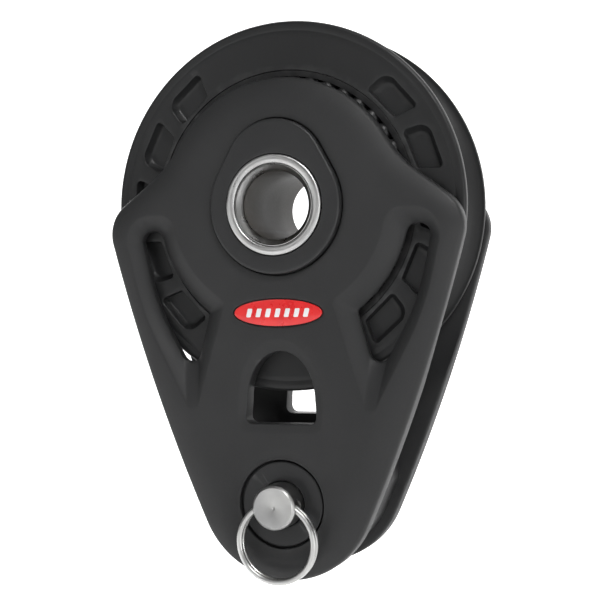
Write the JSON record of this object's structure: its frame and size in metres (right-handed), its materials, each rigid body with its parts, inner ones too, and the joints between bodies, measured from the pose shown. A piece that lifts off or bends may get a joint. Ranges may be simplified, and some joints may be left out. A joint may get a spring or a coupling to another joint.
{
  "type": "single sheave block",
  "caption": "Hollow-core single rope block: grooved sheave on rollers and side balls between two moulded cheeks, with a steel core tube and a removable head pin on a split ring.",
  "frame": {"origin": "centre of the hollow core, on the middle plane between the cheeks", "axes": "+Y along the sheave axis from the front cheek to the rear cheek, +Z from the head pin towards the sheave, +X across"},
  "size_m": [0.1008, 0.0461, 0.1505],
  "materials": {
    "cheek_moulding": "matte moulded",
    "hub_plate": "satin moulded",
    "polished_steel": "polished stainless",
    "race_alloy": "hard anodised",
    "roller_plastic": "machined",
    "cage_plastic": "moulded",
    "washer_plastic": "moulded",
    "sheave_black": "black, satin",
    "race_black": "satin",
    "ball_black": "glossy",
    "bush_black": "satin",
    "turned_steel": "turned",
    "ring_steel": "bright wire",
    "screw_steel": "bright",
    "label_red": "gloss"
  },
  "bodies": {
    "frame": {"front_cheek": "cheek_moulding", "rear_cheek": "cheek_moulding", "front_hub_plate": "hub_plate", "rear_hub_plate": "hub_plate", "core_tube": "polished_steel", "front_core_collar": "polished_steel", "rear_core_collar": "polished_steel", "inner_race": "race_alloy", "front_bearing_washer": "washer_plastic", "rear_bearing_washer": "washer_plastic", "front_head_bush": "bush_black", "rear_head_bush": "bush_black", "head_screws": "screw_steel", "front_label": "label_red", "rear_label": "label_red"},
    "sheave": {"sheave": "sheave_black", "front_ball_race": "race_black", "rear_ball_race": "race_black"},
    "roller_set": {"main_rollers": "roller_plastic", "roller_cage": "cage_plastic"},
    "front_balls": {"front_side_balls": "ball_black"},
    "rear_balls": {"rear_side_balls": "ball_black"},
    "head_pin": {"head_pin": "turned_steel"},
    "split_ring": {"split_ring": "ring_steel"}
  },
  "joints": [
    {"name": "sheave_spin", "type": "hinge", "parent": "frame", "child": "sheave", "pos_m": [0, 0, 0], "axis": [0, 1, 0], "continuous": true},
    {"name": "roller_orbit", "type": "hinge", "parent": "frame", "child": "roller_set", "pos_m": [0, 0, 0], "axis": [0, 1, 0], "continuous": true},
    {"name": "front_ball_orbit", "type": "hinge", "parent": "frame", "child": "front_balls", "pos_m": [0, 0, 0], "axis": [0, 1, 0], "continuous": true},
    {"name": "rear_ball_orbit", "type": "hinge", "parent": "frame", "child": "rear_balls", "pos_m": [0, 0, 0], "axis": [0, 1, 0], "continuous": true},
    {"name": "pin_turn", "type": "hinge", "parent": "frame", "child": "head_pin", "pos_m": [0, 0, -0.0797], "axis": [0, 1, 0], "continuous": true},
    {"name": "ring_swing", "type": "hinge", "parent": "head_pin", "child": "split_ring", "pos_m": [0, -0.02195, -0.0797], "axis": [-1, 0, 0], "range_deg": [0, 180]}
  ],
  "couplings": [
    {"joint": "roller_orbit", "follows": "sheave_spin", "ratio": 0.5748},
    {"joint": "front_ball_orbit", "follows": "sheave_spin", "ratio": 0.5},
    {"joint": "rear_ball_orbit", "follows": "sheave_spin", "ratio": 0.5}
  ]
}
